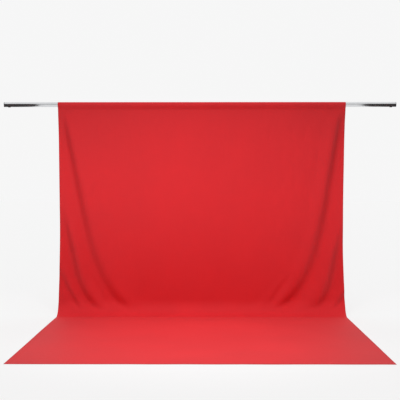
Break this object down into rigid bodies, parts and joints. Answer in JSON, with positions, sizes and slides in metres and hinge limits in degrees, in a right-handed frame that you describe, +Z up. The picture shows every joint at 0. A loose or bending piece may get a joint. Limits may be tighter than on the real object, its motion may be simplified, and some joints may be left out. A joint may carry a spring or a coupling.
{
  "type": "hung cloth backdrop on a sectional crossbar",
  "caption": "Cloth studio backdrop hung by its rod pocket on a jointed tube crossbar, sweeping forward over the floor behind and under the subject.",
  "frame": {"origin": "middle of the crossbar's length, on the tube's axis, which two stands hold up", "axes": "+X along the crossbar to the right as seen from the front, +Z up, front towards -Y; the floor is at z = -2.0 m"},
  "size_m": [3.705, 2.4735, 2.0236],
  "materials": {
    "red_cloth": "matt woven cotton, dyed red",
    "chrome_tube": "polished chrome plate",
    "plain_steel": "bright zinc",
    "black_plastic": "moulded, fine grain"
  },
  "bodies": {
    "bar_left_inner": {"crossbar_tube_left_inner": "chrome_tube", "joint_spigot_left": "plain_steel", "joint_spigot_centre": "plain_steel", "spigot_rivet_left_front": "plain_steel", "spigot_rivet_left_back": "plain_steel", "spigot_rivet_centre_front": "plain_steel", "spigot_rivet_centre_back": "plain_steel", "clip_spring_left": "plain_steel", "clip_spring_centre": "plain_steel"},
    "bar_left_outer": {"crossbar_tube_left_outer": "chrome_tube", "end_cap_left": "black_plastic", "stand_bush_left": "black_plastic"},
    "bar_right_inner": {"crossbar_tube_right_inner": "chrome_tube", "joint_spigot_right": "plain_steel", "spigot_rivet_right_front": "plain_steel", "spigot_rivet_right_back": "plain_steel", "clip_spring_right": "plain_steel"},
    "bar_right_outer": {"crossbar_tube_right_outer": "chrome_tube", "end_cap_right": "black_plastic", "stand_bush_right": "black_plastic"},
    "button_left": {"snap_button_left": "plain_steel"},
    "button_centre": {"snap_button_centre": "plain_steel"},
    "button_right": {"snap_button_right": "plain_steel"},
    "cloth": {"backdrop_cloth": "red_cloth", "rod_pocket": "red_cloth", "side_hem_left": "red_cloth", "side_hem_right": "red_cloth", "front_hem": "red_cloth"}
  },
  "joints": [
    {"name": "cloth_slide", "type": "slide", "parent": "bar_left_inner", "child": "cloth", "axis": [1, 0, 0], "range_m": [-0.445, 0.41]},
    {"name": "left_outer_pull", "type": "slide", "parent": "bar_left_inner", "child": "bar_left_outer", "axis": [-1, 0, 0], "range_m": [0, 0.095], "deforming": ["snap_button_left"]},
    {"name": "right_inner_pull", "type": "slide", "parent": "bar_left_inner", "child": "bar_right_inner", "axis": [1, 0, 0], "range_m": [0, 0.095], "deforming": ["snap_button_centre"]},
    {"name": "right_outer_pull", "type": "slide", "parent": "bar_right_inner", "child": "bar_right_outer", "axis": [1, 0, 0], "range_m": [0, 0.095], "deforming": ["snap_button_right"]},
    {"name": "left_button_press", "type": "slide", "parent": "bar_left_inner", "child": "button_left", "axis": [0, 0, 1], "range_m": [0, 0.006], "stiffness_N_per_m": 1500, "springref_m": -0.003, "deforming": ["clip_spring_left"]},
    {"name": "centre_button_press", "type": "slide", "parent": "bar_left_inner", "child": "button_centre", "axis": [0, 0, 1], "range_m": [0, 0.006], "stiffness_N_per_m": 1500, "springref_m": -0.003, "deforming": ["clip_spring_centre"]},
    {"name": "right_button_press", "type": "slide", "parent": "bar_right_inner", "child": "button_right", "axis": [0, 0, 1], "range_m": [0, 0.006], "stiffness_N_per_m": 1500, "springref_m": -0.003, "deforming": ["clip_spring_right"]}
  ]
}
